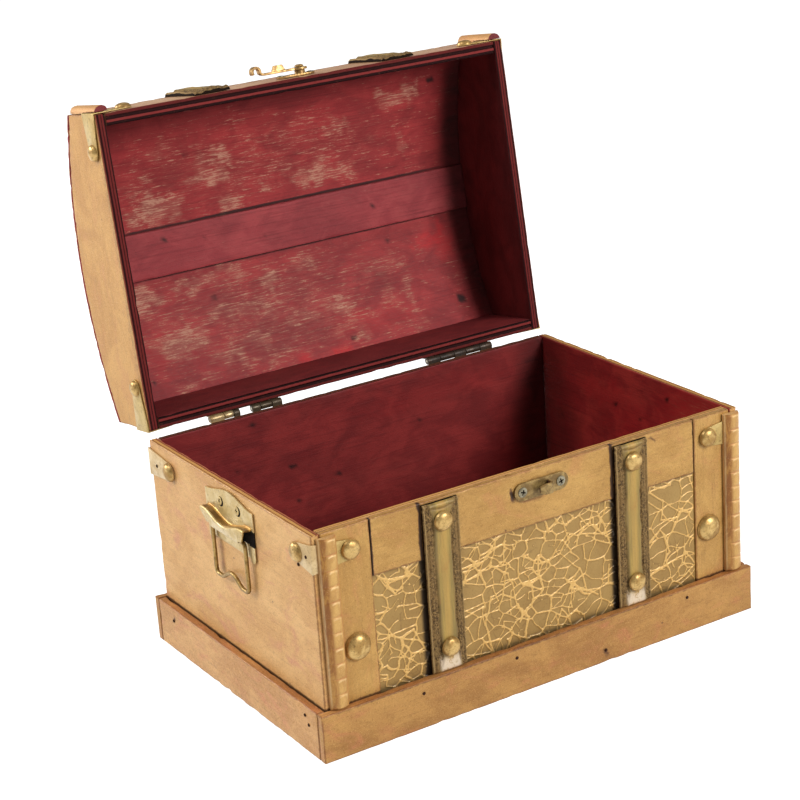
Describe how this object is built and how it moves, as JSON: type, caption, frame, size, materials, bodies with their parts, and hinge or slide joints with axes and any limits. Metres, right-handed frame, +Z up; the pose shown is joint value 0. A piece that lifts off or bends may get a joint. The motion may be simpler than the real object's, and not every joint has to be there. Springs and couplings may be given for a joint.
{
  "type": "wooden treasure box",
  "caption": "Arched-lid wooden treasure chest with plinth, straps, beaded corner mouldings, swing handles, rear hinges and a swing-hook latch.",
  "frame": {"origin": "middle of the underside of the box", "axes": "+Z up, -Y out of the front with the latch, +X to the right as seen from the front; the lid is stored open, as in the picture"},
  "size_m": [0.316, 0.2919, 0.3412],
  "materials": {
    "gold_wood": "gold-brown paint rubbed over wood",
    "red_wood": "dark red stain, worn",
    "crackle_leather": "crackled, raised golden veins",
    "strap_leather": "stitched, folded edges",
    "brass": "antique brass",
    "steel": "thin brass plating"
  },
  "bodies": {
    "box": {"back_wall": "gold_wood", "left_wall": "gold_wood", "right_wall": "gold_wood", "plinth_front": "gold_wood", "plinth_back": "gold_wood", "plinth_left": "gold_wood", "plinth_right": "gold_wood", "stile_left": "gold_wood", "stile_right": "gold_wood", "front_rail": "gold_wood", "corner_moulding_left": "gold_wood", "corner_moulding_right": "gold_wood", "floor_panel": "red_wood", "front_wall": "red_wood", "field_panel": "crackle_leather", "front_strap_left": "strap_leather", "front_strap_right": "strap_leather", "catch_plate": "brass", "bracket_front_left": "brass", "bracket_back_left": "brass", "bracket_nail_left": "brass", "stile_nail_left": "brass", "strap_nail_left_top": "brass", "strap_nail_left_low": "brass", "hinge_body_leaf_left": "brass", "handle_plate_left": "brass", "bracket_front_right": "brass", "bracket_back_right": "brass", "bracket_nail_right": "brass", "stile_nail_right": "brass", "strap_nail_right_top": "brass", "strap_nail_right_low": "brass", "hinge_body_leaf_right": "brass", "handle_plate_right": "brass", "hinge_pin_left_1": "steel", "hinge_pin_left_2": "steel", "hinge_pin_right_1": "steel"},
    "lid": {"lid_end_left": "gold_wood", "lid_end_right": "gold_wood", "lid_skin": "gold_wood", "lid_moulding_left": "gold_wood", "lid_moulding_right": "gold_wood", "lid_front": "red_wood", "lid_back": "red_wood", "lid_batten": "red_wood", "lid_strap_left": "strap_leather", "lid_strap_right": "strap_leather", "latch_plate": "brass", "lid_bracket_front_left": "brass", "lid_bracket_back_left": "brass", "hinge_lid_leaf_left": "brass", "lid_bracket_front_right": "brass", "lid_bracket_back_right": "brass", "hinge_lid_leaf_right": "brass", "latch_rivet": "steel"},
    "latch": {"latch_hook": "brass"},
    "left_handle": {"bail_left": "steel"},
    "right_handle": {"bail_right": "steel"}
  },
  "joints": [
    {"name": "lid_hinge", "type": "hinge", "parent": "box", "child": "lid", "pos_m": [0, 0.1011, 0.1363], "axis": [1, 0, 0], "range_deg": [0, 98.6]},
    {"name": "latch_hook", "type": "hinge", "parent": "lid", "child": "latch", "pos_m": [0.0005, 0.1416, 0.33053], "axis": [0, 0.1495, 0.9888], "range_deg": [0, 90]},
    {"name": "left_bail", "type": "hinge", "parent": "box", "child": "left_handle", "pos_m": [-0.1529, -0.0048, 0.1072], "axis": [0, 1, 0], "range_deg": [0, 90]},
    {"name": "right_bail", "type": "hinge", "parent": "box", "child": "right_handle", "pos_m": [0.1529, -0.0048, 0.1072], "axis": [0, -1, 0], "range_deg": [0, 90]}
  ]
}
